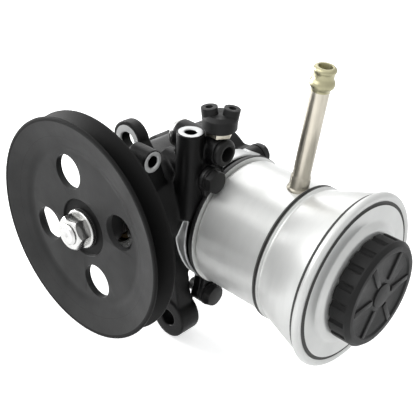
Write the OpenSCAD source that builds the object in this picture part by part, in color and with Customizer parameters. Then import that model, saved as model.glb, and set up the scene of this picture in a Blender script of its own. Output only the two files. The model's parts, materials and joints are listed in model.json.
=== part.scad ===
// Vane-type power steering pump with a V-belt pulley and a side-mounted fluid reservoir.
// The shaft lies along Y with the pulley in front (-Y), the reservoir points along +X, and Z is up.
// The origin is on the shaft axis, in the middle plane of the belt groove. Millimetres.

/* [Pulley] */
// Outside diameter of the pulley
pulley_d = 126; // [110:1:140]
// Width of the rim
rim_w = 14; // [13:0.5:17]
// Flat left on each edge of the groove
rim_lip = 1.6; // [1.2:0.1:2]
// Width of the groove's floor
groove_floor_w = 4.2; // [3:0.1:5]
// Angle between the groove's two walls
groove_angle = 36; // [32:1:40]
// Metal under the groove's floor
rim_wall = 5.8; // [4:0.1:7]
// Depth of the sloping front face, from the rim's edge to its foot
rim_slope = 4; // [2:0.1:5]
// Depth of the hub's face behind the rim's front edge
dish_depth = 5.5; // [5:0.1:7]
// Thickness of the web
web_t = 3.5; // [2.5:0.1:4.5]
// Diameter of the hub
hub_d = 32; // [28:1:34]
// Length of the hub
hub_len = 16.5; // [15:0.1:18]
// Depth of the ring that is sunk round the washer's seat
hub_recess = 1.5; // [0.5:0.1:2]
// Diameter of each lightening hole in the web
web_hole_d = 19.8; // [16:0.1:20]
// Diameter of the circle the lightening holes lie on
web_hole_pcd = 63; // [61:0.5:65]
// Turn of the lightening holes from the X axis
web_hole_turn = 20; // [0:1:45]
// Number of holes in the web
web_hole_n = 4; // [3:1:6]

/* [Shaft] */
// Diameter of the shaft's main length
shaft_d = 17; // [16:0.1:18]
// Diameter of the threaded nose
thread_d = 12; // [10:0.1:13]
// Length of thread that shows past the nut
thread_proud = 1.5; // [1:0.1:5]
// Diameter of the shaft in the rotor
spline_d = 14; // [12:0.1:15]
// Thickness of the half-moon key
key_t = 4; // [3:0.1:5]
// Diameter of the half-moon key
key_d = 11; // [9:0.1:12]

/* [Nut and washer] */
// Width of the nut across its flats
nut_af = 17; // [16:0.5:19]
// Height of the nut
nut_h = 7; // [6:0.5:10]
// Diameter of the washer
washer_d = 22; // [21:0.5:26]
// Thickness of the washer
washer_t = 2.5; // [1.5:0.1:3.5]

/* [Bearing and seal] */
// Outside diameter of the ball bearing
bearing_d = 40; // [39:0.5:42]
// Width of the ball bearing
bearing_w = 12; // [11:0.1:13]
// Diameter of each ball
ball_d = 6.8; // [6:0.1:7]
// Number of balls
ball_n = 8; // [6:1:8]
// Radial thickness of each race
race_t = 3.6; // [3:0.1:3.8]
// Thickness of the retaining ring in front of the bearing
retainer_t = 1.6; // [1.2:0.1:2]
// Outside diameter of the oil seal
seal_d = 28; // [26:0.5:31]
// Width of the oil seal
seal_w = 7; // [5:0.1:8]
// Wall of the shaft's plain bush
bush_wall = 2; // [1.5:0.1:3]
// Length of the shaft's plain bush
bush_len = 14; // [10:0.5:18]
// Distance from the pump cavity's front to the reservoir's axis
cavity_lead = 18; // [16:0.5:20]

/* [Housing] */
// Diameter of the bearing nose
nose_d = 52; // [49:1:56]
// Diameter of the main barrel
barrel_d = 60; // [59:0.5:61]
// Gap between the pulley's hub and the nose
pulley_gap = 1.5; // [1:0.1:3]
// Thickness of the lower mounting arm
arm_t = 11; // [9:0.5:13]
// Bore of the two large mounting lugs
lug_bore_d = 10.4; // [8:0.1:11]
// Outside diameter of the upper lug
upper_lug_d = 23; // [20:0.5:26]
// Thickness of the upper lug
upper_lug_t = 7; // [6:0.5:9]
// Outside diameter of the lower lug
lower_lug_d = 25; // [22:0.5:28]
// Length of the lower lug
lower_lug_len = 14; // [13:0.5:18]
// Outside diameter of the threaded boss
stud_boss_d = 13; // [11:0.5:15]
// Core diameter of the threaded boss
stud_hole_d = 6.8; // [5:0.1:7]
// Depth of the threaded boss's hole
stud_depth = 12; // [10:0.5:13]
// Outside diameter of the upright boss
top_boss_d = 15; // [13:0.5:16]
// Height of the upright boss over the shaft's axis
top_boss_z = 51; // [49:0.5:51]
// Core diameter of the upright boss
top_hole_d = 6.8; // [5:0.1:7]
// Depth of the upright boss's hole
top_depth = 12; // [8:0.5:14]
// Thickness of the rear cover
cover_t = 10; // [8:0.5:12]
// Diameter of the rear cover
cover_d = 60; // [58:0.5:60.5]
// Height of the cover's raised middle
cover_rise = 4; // [2:0.5:6]
// Outside diameter of each cover bolt's lug
cover_lug_d = 14; // [13:0.5:15]

/* [Pump cartridge] */
// Diameter of the cartridge and its cavity
cartridge_d = 50; // [49:0.5:51]
// Width of the cam ring
cam_w = 18; // [14:0.5:20]
// Least radius of the cam
cam_minor_r = 17; // [16.8:0.1:17.2]
// Rise of the cam from its least to its greatest radius
cam_rise = 2.4; // [1.6:0.1:2.8]
// Diameter of the rotor
rotor_d = 33.2; // [32:0.1:33.4]
// Number of vanes
vane_n = 10; // [10:1:10]
// Thickness of each vane
vane_t = 1.6; // [1.2:0.1:1.8]
// Radial height of each vane
vane_h = 7; // [6:0.1:7.2]
// Thickness of each side plate
plate_t = 6; // [5:0.5:8]
// Diameter of each locating pin
pin_d = 3.4; // [2.5:0.1:4]
// Room in front of the cartridge for its spring washer
washer_room = 2; // [1.5:0.1:2.5]
// Thickness of the spring washer's metal
spring_washer_t = 0.9; // [0.6:0.1:1.2]

/* [Flow control valve] */
// Diameter of the valve's spool
spool_d = 12; // [11:0.1:12.4]
// Length of the spool
spool_len = 11; // [10:0.5:12.5]
// Depth of the spool's cup for the spring
spool_cup = 5; // [4.5:0.1:5.5]
// Travel of the spool against its spring
spool_travel = 4; // [3:0.5:5]
// Room left behind the spool at the end of its travel
spring_room = 2; // [1.5:0.1:3]
// Wire of the spring
valve_spring_wire = 1.2; // [1:0.1:1.4]
// Distance of the valve's axis in front of the reservoir's axis
valve_set = 21.5; // [20:0.5:23]
// Room between the port's bore and the top of the lid's bead
port_room = 3.4; // [2:0.1:5]
// Gap between the union and the head of the reservoir's upper bolt
union_room = 0.5; // [0.3:0.1:2]
// Outside diameter of the valve's boss
valve_boss_d = 16.5; // [16:0.1:17.5]
// Length of thread on the pressure union
union_thread_len = 10; // [9:0.5:12]
// Outside diameter of the union's head
union_d = 15; // [14:0.5:16]
// Length of the union's head
union_head = 3.5; // [3:0.5:6]
// Diameter of the union's port
port_d = 8.4; // [7:0.1:9]
// Depth of the union's port
port_depth = 10; // [8:0.5:11]
// Length of the end plug
plug_len = 4; // [3.5:0.1:5]

/* [Air valve] */
// Width of the air valve's hexagon across its flats
air_hex_af = 13; // [12:0.5:14]
// Height of the hexagon
air_hex_h = 3; // [2:0.5:6]
// Diameter of the spigot
air_spigot_d = 7; // [5:0.5:7]
// Diameter of the moulded body
air_body_d = 19; // [17:0.5:20]
// Height of the moulded body
air_body_h = 9; // [7:0.5:10]
// Diameter of each hose nipple
nipple_d = 9; // [7:0.1:9.2]
// Bore of each hose nipple
nipple_bore_d = 4; // [2:0.1:5]
// Length of each hose nipple past the body's top
nipple_len = 3.5; // [3:0.5:6]
// Lean of each hose nipple from upright
nipple_lean = 8; // [6:1:12]

/* [Reservoir] */
// Distance of the reservoir's axis behind the belt's middle plane
res_y = 83; // [82:0.5:85]
// Height of the reservoir's axis relative to the shaft
res_z = -13; // [-14:0.5:-12]
// Distance of the reservoir's seat from the shaft
seat_x = 36; // [35.5:0.1:38]
// Thickness of the base flange
flange_t = 2.5; // [2:0.1:3]
// Diameter of the base flange
flange_d = 80; // [79:0.5:82]
// Diameter of the seat that is machined for the flange
seat_d = 52; // [48:0.5:54]
// Diameter of the thick pad behind the seat
tank_pad_d = 79; // [74:0.5:80]
// Thickness of the pad
tank_pad_t = 9; // [6:0.5:10]
// Sheet thickness of the reservoir
sheet_t = 1.2; // [0.9:0.1:1.5]
// Diameter of the cup
cup_d = 77; // [74:0.5:78]
// Length of the cup
cup_len = 46; // [44:0.5:52]
// Height of the rolled seam over the cup's wall
seam_rise = 1.8; // [1.5:0.1:2.2]
// Diameter of the flared collar at its wide end
collar_d = 97; // [94:0.5:100]
// Length of the flared collar
collar_len = 31.5; // [28:0.5:36]
// Thickness of the rolled bead round the lid
bead_t = 5; // [4:0.1:6]
// Rise of the lid from the bead to the neck
lid_rise = 3; // [2:0.1:4]
// Outside diameter of the filler neck
neck_d = 53; // [50:0.5:54]
// Length of the filler neck over the lid
neck_len = 9.2; // [9:0.1:12]
// Diameter of the suction hole
suction_d = 18; // [14:0.5:20]
// Diameter of the filter
filter_d = 32; // [28:0.5:36]
// Length of the filter
filter_len = 22; // [16:0.5:24]
// Number of windows round the filter
filter_windows = 8; // [6:1:12]

/* [Return pipe] */
// Outside diameter of the return pipe
pipe_d = 9.6; // [8:0.1:10.5]
// Bore of the return pipe
pipe_bore_d = 7.2; // [5:0.1:7.4]
// Distance of the pipe's foot along the cup, from the base flange
pipe_along = 38.7; // [34:0.1:38.8]
// Height of the pipe's tip over the cup's wall
pipe_rise = 71; // [60:1:80]
// Lean of the pipe towards the cap
pipe_lean = 6; // [0:0.5:8]
// Diameter of the bead that keeps the hose on
pipe_bead_d = 13; // [11.5:0.1:14]
// Length of the swollen end
pipe_end_len = 12; // [10:0.5:15]
// Diameter of the welded foot
pipe_foot_d = 10.8; // [10.4:0.1:11]
// Height of the cut that fits the pipe's foot to the cup
saddle_h = 10; // [8:0.5:14]

/* [Cap] */
// Diameter of the cap over its grips
cap_d = 60; // [59:0.5:64]
// Height of the cap
cap_h = 12; // [11:0.5:12.5]
// Thickness of the cap's top
cap_top_t = 2.5; // [2:0.1:3.5]
// Number of grips round the cap
grip_n = 18; // [12:1:24]
// Depth of the grooves between the grips
grip_depth = 1.3; // [0.8:0.1:1.5]
// Diameter of the button in the middle of the cap
cap_button_d = 14; // [10:0.5:16]
// Width of the cap's rim round the ribs
cap_rim_w = 5.5; // [4:0.5:7]
// Thickness of the cap's gasket
gasket_t = 2.4; // [1.5:0.1:3]
// Diameter of the dipstick
dipstick_d = 3; // [2:0.1:5]
// Length of the dipstick
dipstick_len = 66; // [50:1:70]
// Length of the dipstick's thicker end
dipstick_end_len = 10; // [6:0.5:15]
// Height of the socket that holds the dipstick
dipstick_socket = 3; // [2:0.5:5]

/* [Bolts] */
// Diameter of the bolts' shanks
bolt_d = 7.8; // [6:0.1:8]
// Width of the bolts' heads across their flats
bolt_af = 12; // [10:0.5:12.5]
// Height of the bolts' heads
bolt_head = 5.5; // [4:0.1:7]
// Length of each bolt in the metal it is screwed into
bolt_grip = 12; // [8:0.5:14]

/* [Clearances] */
// Radial clearance of seated parts
seat_gap = 0.03; // [0.02:0.01:0.05]
// Radial clearance of running parts
run_gap = 0.04; // [0.03:0.01:0.06]
// Clearance of a vane's tip to the cam
tip_gap = 0.15; // [0.12:0.01:0.2]

/* [Hidden] */
$fn = 64;
VANES = [for (i = [1:vane_n]) str("vane_", i)];
little = 0.01;

// Stations along the shaft, from the pulley to the back
rim_front = -rim_w / 2;
rim_back = rim_w / 2;
hub_front = rim_front + dish_depth;
hub_back = hub_front + hub_len;
washer_front = hub_front - washer_t;
nut_front = washer_front - nut_h;
nose_front = hub_back + pulley_gap;
retainer_front = nose_front + 1.4;
bearing_front = retainer_front + retainer_t;
bearing_back = bearing_front + bearing_w;
seal_front = bearing_back + 1.5;
seal_back = seal_front + seal_w;
bush_front = seal_back + 3;
bush_back = bush_front + bush_len;
cavity_front = res_y - cavity_lead;
plate_1 = cavity_front + washer_room;
cam_front = plate_1 + plate_t;
cam_back = cam_front + cam_w;
cavity_back = cam_back + plate_t;
cover_back = cavity_back + cover_t;

// Places of the lugs, as [x, z]
upper_lug = [-12, 33.5];
lower_lug = [26.5, -67];
cone_front = nose_front + 15.5;
cone_back = cone_front + 13;
upper_lug_front = cone_front + 9;
lower_lug_front = cone_front + 6;
cover_bolts_at = [[27.5, 17], [-35.5, 6.3], [5, -35.6]];

// Place of the threaded boss that faces +X, as [y, z], and of the upright boss, as [x, y]
stud_boss = [cone_front - 3.2, 37.8];
stud_end_x = 22;
top_boss = [28, cone_front + 18];

// Radii of the pulley, from the groove inwards
pulley_r = pulley_d / 2;
groove_top_w = rim_w - 2 * rim_lip;
groove_r = pulley_r - (groove_top_w - groove_floor_w) / 2 / tan(groove_angle / 2);
rim_inner_r = groove_r - rim_wall;

// The bearing's middle circle
shaft_r = shaft_d / 2;
pitch_r = (shaft_r + bearing_d / 2) / 2;
bearing_mid = (bearing_front + bearing_back) / 2;

// The cartridge
cavity_r = cartridge_d / 2;
cartridge_r = cavity_r - seat_gap;
vane_step = 360 / vane_n;
vane_tip_r = cam_minor_r - tip_gap;
slot_r = vane_tip_r - vane_h - 0.3;
pin_circle_r = cavity_r - 3.5;

// Stations along the flow valve's bore
valve_y = res_y - valve_set;
valve_end_x = seat_x + 5;
spool_stop_x = valve_end_x - union_thread_len;
spool_back_x = spool_stop_x - spool_len;
spring_back_x = spool_back_x - spool_travel - spring_room;
plug_end_x = spring_back_x - plug_len;
union_thread_r = spool_d / 2 + 0.6;

// Stations along the reservoir's axis
res_axis = [res_y, res_z];
cup_x = seat_x + flange_t;
seam_x = cup_x + cup_len;
cup_r = cup_d / 2;
collar_r = collar_d / 2;
lid_bead_at_r = collar_r - 0.8;
lid_bead_r = lid_bead_at_r + bead_t / 2;
bead_x = seam_x + collar_len;
lid_x = bead_x + bead_t - sheet_t;
neck_x = lid_x + lid_rise;
neck_end_x = neck_x + neck_len;
neck_r = neck_d / 2;
cap_inside_x = neck_end_x + gasket_t + 0.1;
cap_end_x = cap_inside_x + cap_top_t;
cap_skirt_x = cap_end_x - cap_h;
bolt_washer_d = bolt_af * 1.2;
res_bolt_r = cup_r + bolt_washer_d / 2 + 0.6;
res_bolt_angles = [126, 240, 0];
pipe_x = cup_x + pipe_along;
seat_r = seat_d / 2;
tank_pad_x = seat_x - 3;
seat_plate_t = 5.5;
res_lug_r = bolt_d / 2 + 3.2;

// Heights of the flow valve, whose hose passes over the lid's bead and whose union clears the bolt's head, and of the air valve on top of it
over_bead_z = res_z + sqrt(lid_bead_r * lid_bead_r - valve_set * valve_set) + port_d / 2 + port_room;
union_bolt = res_axis + res_bolt_r * unit(res_bolt_angles[0]);
union_apart = union_d / 2 + bolt_washer_d / 2 + union_room;
over_bolt_z = union_bolt[1] + sqrt(union_apart * union_apart - (union_bolt[0] - valve_y) * (union_bolt[0] - valve_y));
valve_z = max(over_bead_z, over_bolt_z);
air_pad_r = air_spigot_d / 2 + 1;
air_spigot_len = valve_boss_d / 2 - union_thread_r;
air_x = valve_end_x - air_pad_r;
air_y = valve_y + 1.5;
air_seat_z = valve_z + valve_boss_d / 2 + 0.25;
air_body_z = air_seat_z + air_hex_h;

function unit(angle) = [cos(angle), sin(angle)];
function cam_r(angle) = cam_minor_r + cam_rise / 2 * (1 - cos(2 * angle));

// Turned shape about the shaft; its outline is drawn as (radius, y)
module turned_y() { rotate([-90, 0, 0]) rotate_extrude() children(); }

// Turned shape about the reservoir's axis; its outline is drawn as (radius, x)
module turned_x() { translate([0, res_y, res_z]) rotate([0, 90, 0]) rotate_extrude() children(); }

// Flat shape drawn in (x, z) that runs from y0 to y1
module slab_y(y0, y1) { translate([0, y1, 0]) rotate([90, 0, 0]) linear_extrude(y1 - y0) children(); }

// Flat shape drawn in (y, z) that runs from x0 to x1
module slab_x(x0, x1) { translate([x0, 0, 0]) rotate([90, 0, 90]) linear_extrude(x1 - x0) children(); }

// Round bar along Y at at = [x, z]
module rod_y(at, r, y0, y1) { translate([at.x, y0, at.y]) rotate([-90, 0, 0]) cylinder(h = y1 - y0, r = r); }

// Round bar along X at at = [y, z]
module rod_x(at, r, x0, x1) { translate([x0, at.x, at.y]) rotate([0, 90, 0]) cylinder(h = x1 - x0, r = r); }

// Ring outline between two radii and two stations
module band(r0, r1, s0, s1) { translate([r0, s0]) square([r1 - r0, s1 - s0]); }

// Two discs joined by a slightly waisted arm
module arm(c1, r1, c2, r2) {
    waist = 0.9;
    heading = atan2(c2.y - c1.y, c2.x - c1.x);
    flank = acos(waist * (r1 - r2) / norm(c2 - c1));
    translate(c1) circle(r1);
    translate(c2) circle(r2);
    polygon([
        c1 + waist * r1 * unit(heading + flank), c1 + waist * r1 * unit(heading - flank),
        c2 + waist * r2 * unit(heading - flank), c2 + waist * r2 * unit(heading + flank)]);
}

// Hexagon outline by its width across flats
module hexagon(af) { circle(d = af / cos(30), $fn = 6); }

// Hexagon-headed bolt that stands on z = 0 with its shank downwards
module bolt(shank) {
    translate([0, 0, -shank]) cylinder(h = shank + little, d = bolt_d);
    cylinder(h = bolt_head * 0.3, d = bolt_washer_d);
    intersection() {
        linear_extrude(bolt_head) hexagon(bolt_af);
        translate([0, 0, -little]) cylinder(h = bolt_head + 2 * little, d1 = bolt_af * 1.6, d2 = bolt_af * 1.02);
    }
}

// Turned pulley with a V groove, a dished web and a hub
module pulley() {
    web_front = hub_front;
    web_back = web_front + web_t;
    hub_r = hub_d / 2;
    pad_r = washer_d / 2 + 0.3;
    color("#2b2b2d") difference() {
        turned_y() polygon([
            [shaft_r + seat_gap, hub_front], [pad_r, hub_front], [pad_r, hub_front + hub_recess],
            [hub_r, hub_front + hub_recess], [hub_r + 0.6, web_front],
            [rim_inner_r - 3, web_front], [rim_inner_r, rim_front + rim_slope],
            [pulley_r - 2, rim_front], [pulley_r, rim_front + 0.4],
            [pulley_r, rim_front + rim_lip], [groove_r, -groove_floor_w / 2],
            [groove_r, groove_floor_w / 2], [pulley_r, rim_back - rim_lip],
            [pulley_r, rim_back - 0.4], [pulley_r - 2, rim_back],
            [rim_inner_r + 1, rim_back], [rim_inner_r - 2, web_back],
            [hub_r, web_back], [hub_r - 2, hub_back], [shaft_r + seat_gap, hub_back]]);
        for (i = [0:web_hole_n - 1])
            rod_y(web_hole_pcd / 2 * unit(web_hole_turn + 360 / web_hole_n * i), web_hole_d / 2, rim_front, rim_back + 1);
        slab_y(hub_front - 1, hub_back + 1)
            translate([-key_t / 2 - seat_gap, 0]) square([key_t + 2 * seat_gap, shaft_r + 2]);
    }
}

// Hexagon nut with chamfered corners
module pulley_nut() {
    corner_r = nut_af / 2 / cos(30);
    color("#d9d9d6") difference() {
        intersection() {
            slab_y(nut_front, washer_front) hexagon(nut_af);
            turned_y() polygon([
                [0, nut_front], [nut_af / 2, nut_front], [corner_r + 0.5, nut_front + 1.8],
                [corner_r + 0.5, washer_front], [0, washer_front]]);
        }
        rod_y([0, 0], thread_d / 2 + seat_gap, nut_front - 1, washer_front + 1);
    }
}

module nut_washer() {
    color("#cfcfcb") turned_y() polygon([
        [thread_d / 2 + 0.2, washer_front], [washer_d / 2 - 0.6, washer_front],
        [washer_d / 2, washer_front + 0.6], [washer_d / 2, hub_front], [thread_d / 2 + 0.2, hub_front]]);
}

// Half-moon key between the shaft and the hub
module half_moon(grow) {
    key_y = (hub_front + hub_back) / 2;
    translate([-key_t / 2 - grow, key_y, shaft_r - key_d / 4]) rotate([0, 90, 0])
        cylinder(h = key_t + 2 * grow, d = key_d + 2 * grow);
}

module woodruff_key() {
    color("#8c8c88") intersection() {
        half_moon(0);
        translate([-key_t, hub_front, -shaft_r]) cube([2 * key_t, hub_len, 2 * shaft_r + 1.8]);
    }
}

// Stepped shaft with a threaded nose, a keyway and a groove for the rotor's ring
module pump_shaft() {
    ring_y = cam_back - 2;
    spline_r = spline_d / 2;
    color("#9a9a98") difference() {
        turned_y() polygon([
            [0, nut_front - thread_proud], [thread_d / 2 - 1, nut_front - thread_proud],
            [thread_d / 2, nut_front - thread_proud + 1], [thread_d / 2, hub_front],
            [shaft_r, hub_front + 0.5], [shaft_r, bush_back + 4], [spline_r, bush_back + 5],
            [spline_r, ring_y], [spline_r - 0.8, ring_y], [spline_r - 0.8, ring_y + 1.3],
            [spline_r, ring_y + 1.3], [spline_r, cavity_back - 2], [spline_r - 1, cavity_back - 1],
            [0, cavity_back - 1]]);
        half_moon(seat_gap);
    }
}

// Cast housing: bearing nose, barrel, mounting lugs and bosses, valve boss and reservoir seat
module front_housing() {
    color("#191919") difference() {
        housing_casting();
        housing_bores();
    }
}

module housing_casting() {
    barrel_r = barrel_d / 2;
    boss_r = valve_boss_d / 2;
    wall_end_x = seat_x - 1;
    turned_y() polygon([
        [0, nose_front], [nose_d / 2 - 1.5, nose_front], [nose_d / 2, nose_front + 1.5],
        [nose_d / 2, cone_front], [barrel_r, cone_back], [barrel_r, cavity_back], [0, cavity_back]]);
    slab_y(upper_lug_front, upper_lug_front + upper_lug_t) arm([0, 0], nose_d / 2, upper_lug, upper_lug_d / 2);
    slab_y(lower_lug_front + 1, lower_lug_front + 1 + arm_t)
        arm([0, 0], nose_d / 2, lower_lug, lower_lug_d / 2 - 2);
    rod_y(lower_lug, lower_lug_d / 2, lower_lug_front, lower_lug_front + lower_lug_len);
    slab_x(stud_end_x - stud_depth - 2, stud_end_x - 1.5)
        arm([cone_front + 4, 8], 9, stud_boss, stud_boss_d / 2);
    rod_x(stud_boss, stud_boss_d / 2, stud_end_x - stud_depth, stud_end_x);
    translate([top_boss.x, top_boss.y, 0]) cylinder(h = top_boss_z, d = top_boss_d);
    slab_y(cavity_back - 12, cavity_back) cover_lugs(barrel_r - 10);
    rod_x([valve_y, valve_z], boss_r, plug_end_x, valve_end_x);
    translate([plug_end_x + 3, valve_y - boss_r, 0]) cube([wall_end_x - plug_end_x - 3, 2 * boss_r, valve_z]);
    translate([air_x, air_y, valve_z]) cylinder(h = air_seat_z - valve_z, r = air_pad_r);
    tank_seat();
    slab_x(seat_x - seat_plate_t, seat_x) for (angle = res_bolt_angles)
        arm(res_axis, seat_r, res_axis + res_bolt_r * unit(angle), res_lug_r);
    rod_x(res_axis + res_bolt_r * unit(res_bolt_angles[0]), res_lug_r, 5, seat_x);
}

// Seat of the reservoir: a machined disc on a thick pad that stops short of the rear cover
module tank_seat() {
    span = 2 * tank_pad_d;
    rod_x(res_axis, seat_r, seat_x - seat_plate_t, seat_x);
    intersection() {
        union() {
            rod_x(res_axis, seat_r, 0, seat_x);
            rod_x(res_axis, tank_pad_d / 2, tank_pad_x - tank_pad_t, tank_pad_x);
        }
        translate([-span / 2, cavity_back - span, res_z - span / 2]) cube(span);
    }
}

// Lugs for the cover's bolts, as an outline in (x, z)
module cover_lugs(root_r) {
    for (at = cover_bolts_at) arm([0, 0], root_r, at, cover_lug_d / 2);
}

module housing_bores() {
    bearing_r = bearing_d / 2;
    turned_y() polygon([
        [0, nose_front - 1], [bearing_r + seat_gap, nose_front - 1],
        [bearing_r + seat_gap, retainer_front], [bearing_r + 1.4, retainer_front],
        [bearing_r + 1.4, bearing_front], [bearing_r + seat_gap, bearing_front],
        [bearing_r + seat_gap, bearing_back], [seal_d / 2 + seat_gap, bearing_back],
        [seal_d / 2 + seat_gap, seal_back], [shaft_r + 0.8, seal_back], [shaft_r + 0.8, bush_front],
        [shaft_r + bush_wall + seat_gap, bush_front], [shaft_r + bush_wall + seat_gap, bush_back],
        [shaft_r + 0.8, bush_back], [shaft_r + 0.8, cavity_front], [cavity_r, cavity_front],
        [cavity_r, cavity_back + 1], [0, cavity_back + 1]]);
    rod_y(upper_lug, lug_bore_d / 2, upper_lug_front - 2, upper_lug_front + upper_lug_t + 2);
    rod_y(lower_lug, lug_bore_d / 2, lower_lug_front - 2, lower_lug_front + lower_lug_len + 2);
    rod_x(stud_boss, stud_hole_d / 2, stud_end_x - stud_depth, stud_end_x + 1);
    translate([top_boss.x, top_boss.y, top_boss_z - top_depth]) cylinder(h = top_depth + 1, d = top_hole_d);
    for (at = cover_bolts_at) rod_y(at, bolt_d / 2 + seat_gap, cavity_back - 12 - 1, cavity_back + 1);
    rod_x([valve_y, valve_z], spool_d / 2 + run_gap, plug_end_x - 1, valve_end_x + 1);
    rod_x([valve_y, valve_z], union_thread_r + seat_gap, plug_end_x - 1, plug_end_x + plug_len);
    rod_x([valve_y, valve_z], union_thread_r + seat_gap, spool_stop_x, valve_end_x + 1);
    translate([air_x, air_y, valve_z]) cylinder(h = valve_boss_d, d = air_spigot_d + 2 * seat_gap);
    rod_x(res_axis, suction_d / 2, 8, seat_x + 1);
    for (angle = res_bolt_angles)
        rod_x(res_axis + res_bolt_r * unit(angle), bolt_d / 2 + seat_gap, seat_x - bolt_grip, seat_x + 1);
    turned_x() band(suction_d / 2 + 3, suction_d / 2 + 5.6, seat_x - 2.15, seat_x + 1);
}

module bearing_snap_ring() {
    gap_w = 8;
    color("#6f6f6d") difference() {
        turned_y() band(bearing_d / 2 - 2.5, bearing_d / 2 + 1.3, retainer_front + 0.1, bearing_front - 0.05);
        slab_y(retainer_front - 1, bearing_front + 1) translate([-gap_w / 2, -bearing_d]) square([gap_w, bearing_d]);
    }
}

// Ball track that is cut from both races
module ball_track() { turned_y() translate([pitch_r, bearing_mid]) circle(d = ball_d + 2 * run_gap); }

module bearing_outer_race() {
    color("#b9b9b6") difference() {
        turned_y() band(bearing_d / 2 - race_t, bearing_d / 2, bearing_front, bearing_back);
        ball_track();
    }
}

module bearing_inner_race() {
    color("#b9b9b6") difference() {
        turned_y() band(shaft_r + seat_gap, shaft_r + race_t, bearing_front, bearing_back);
        ball_track();
    }
}

// Copies of a shape at each ball's place, with the radius along X
module at_balls() {
    for (i = [0:ball_n - 1]) rotate([0, 360 / ball_n * i, 0]) translate([pitch_r, bearing_mid, 0]) children();
}

module bearing_balls() { color("#d5d5d2") at_balls() sphere(d = ball_d); }

module bearing_cage() {
    color("#a58b52") difference() {
        turned_y() band(pitch_r - 1.1, pitch_r + 1.1, bearing_mid - ball_d * 0.4, bearing_mid + ball_d * 0.6);
        at_balls() rotate([0, 90, 0]) cylinder(h = ball_d, d = ball_d + 0.3, center = true);
    }
}

// Rubber shaft seal with an inward lip
module oil_seal() {
    lip_r = shaft_r + run_gap;
    color("#232323") turned_y() polygon([
        [lip_r, seal_front + 2], [lip_r + 1.5, seal_front], [seal_d / 2, seal_front],
        [seal_d / 2, seal_back], [seal_d / 2 - 1.5, seal_back], [seal_d / 2 - 1.5, seal_front + 1.5],
        [lip_r + 2, seal_front + 1.5], [lip_r + 2, seal_back - 1], [lip_r + 1, seal_back - 1]]);
}

module shaft_bushing() {
    color("#9b7b45") turned_y() band(shaft_r + run_gap, shaft_r + bush_wall, bush_front, bush_back);
}

// Coned spring washer that loads the cartridge from the front
module spring_washer() {
    color("#8b8b88") turned_y() polygon([
        [shaft_r + 4, cavity_front], [cavity_r - 2, plate_1 - spring_washer_t],
        [cavity_r - 2, plate_1], [shaft_r + 4, cavity_front + spring_washer_t]]);
}

// Side plate with a shaft hole, pin holes and two curved ports
module side_plate(y0) {
    port_span = 44;
    difference() {
        turned_y() band(spline_d / 2 + 1, cartridge_r, y0, y0 + plate_t);
        pins(pin_d / 2 + seat_gap, y0 - 1, y0 + plate_t + 1);
        for (turn = [45, 225]) translate([0, y0 - 1, 0]) rotate([-90, 0, 0])
            rotate_extrude(angle = port_span, start = turn - port_span / 2)
                translate([cam_minor_r - 3.4, 0]) square([3, plate_t + 2]);
    }
}

module pins(r, y0, y1) { for (side = [-1, 1]) rod_y([side * pin_circle_r, 0], r, y0, y1); }

module front_side_plate() { color("#a6a6a2") side_plate(plate_1); }

module rear_side_plate() { color("#a6a6a2") side_plate(cam_back); }

module locating_pins() { color("#c4c4c0") pins(pin_d / 2, plate_1, cavity_back); }

// Ring with the two-lobed cam that the vanes follow
module cam_ring() {
    color("#8f8f8c") difference() {
        rod_y([0, 0], cartridge_r, cam_front, cam_back);
        slab_y(cam_front - 1, cam_back + 1) polygon([for (a = [0:4:356]) cam_r(a) * unit(a)]);
        pins(pin_d / 2 + seat_gap, cam_front - 1, cam_back + 1);
    }
}

// Slotted rotor with a round pocket under each vane
module rotor() {
    slot_w = vane_t + 2 * run_gap;
    rotor_front = cam_front + run_gap;
    rotor_back = cam_back - run_gap;
    color("#bdbdb9") difference() {
        slab_y(rotor_front, rotor_back) difference() {
            circle(d = rotor_d);
            circle(d = spline_d + 2 * seat_gap);
            for (i = [0:vane_n - 1]) rotate(vane_step * (i + 0.5)) {
                translate([slot_r, -slot_w / 2]) square([rotor_d, slot_w]);
                translate([slot_r, 0]) circle(r = slot_w * 0.75);
            }
        }
        turned_y() band(0, slot_r - 0.2, cam_back - 2.2, cam_back + 1);
    }
}

// One vane with a rounded tip, pushed in to the cam's least radius
module vane(i) {
    turn = vane_step * (i + 0.5);
    color("#cccdc8") slab_y(cam_front + 2 * run_gap, cam_back - 2 * run_gap) rotate(turn) {
        translate([vane_tip_r - vane_h, -vane_t / 2]) square([vane_h - vane_t / 2, vane_t]);
        translate([vane_tip_r - vane_t / 2, 0]) circle(d = vane_t);
    }
}

module rotor_snap_ring() {
    ring_y = cam_back - 2;
    color("#6f6f6d") turned_y()
        band(spline_d / 2 - 0.8 + seat_gap, slot_r - 0.6, ring_y + 0.1, ring_y + 1.2);
}

module cover_o_ring() {
    color("#161616") turned_y() translate([cavity_r + 2.2, cavity_back + 0.87]) circle(r = 0.85);
}

// Rear cover with four bolt lugs, a seal groove and a raised middle
module rear_cover() {
    color("#1c1c1c") difference() {
        union() {
            turned_y() polygon([
                [0, cavity_back], [cover_d / 2, cavity_back], [cover_d / 2, cover_back - 2],
                [cover_d / 2 - 2, cover_back], [cover_d / 3, cover_back],
                [cover_d / 3 - cover_rise, cover_back + cover_rise], [0, cover_back + cover_rise]]);
            slab_y(cavity_back, cover_back) cover_lugs(cover_d / 2 - 9);
        }
        turned_y() band(cavity_r + 1.3, cavity_r + 3.1, cavity_back - 1, cavity_back + 1.8);
        for (at = cover_bolts_at) rod_y(at, bolt_d / 2 + 0.3, cavity_back - 1, cover_back + cover_rise + 1);
    }
}

module cover_bolts() {
    color("#7d7d79") for (at = cover_bolts_at)
        translate([at.x, cover_back, at.y]) rotate([-90, 0, 0]) bolt(cover_t + bolt_grip);
}

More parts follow.
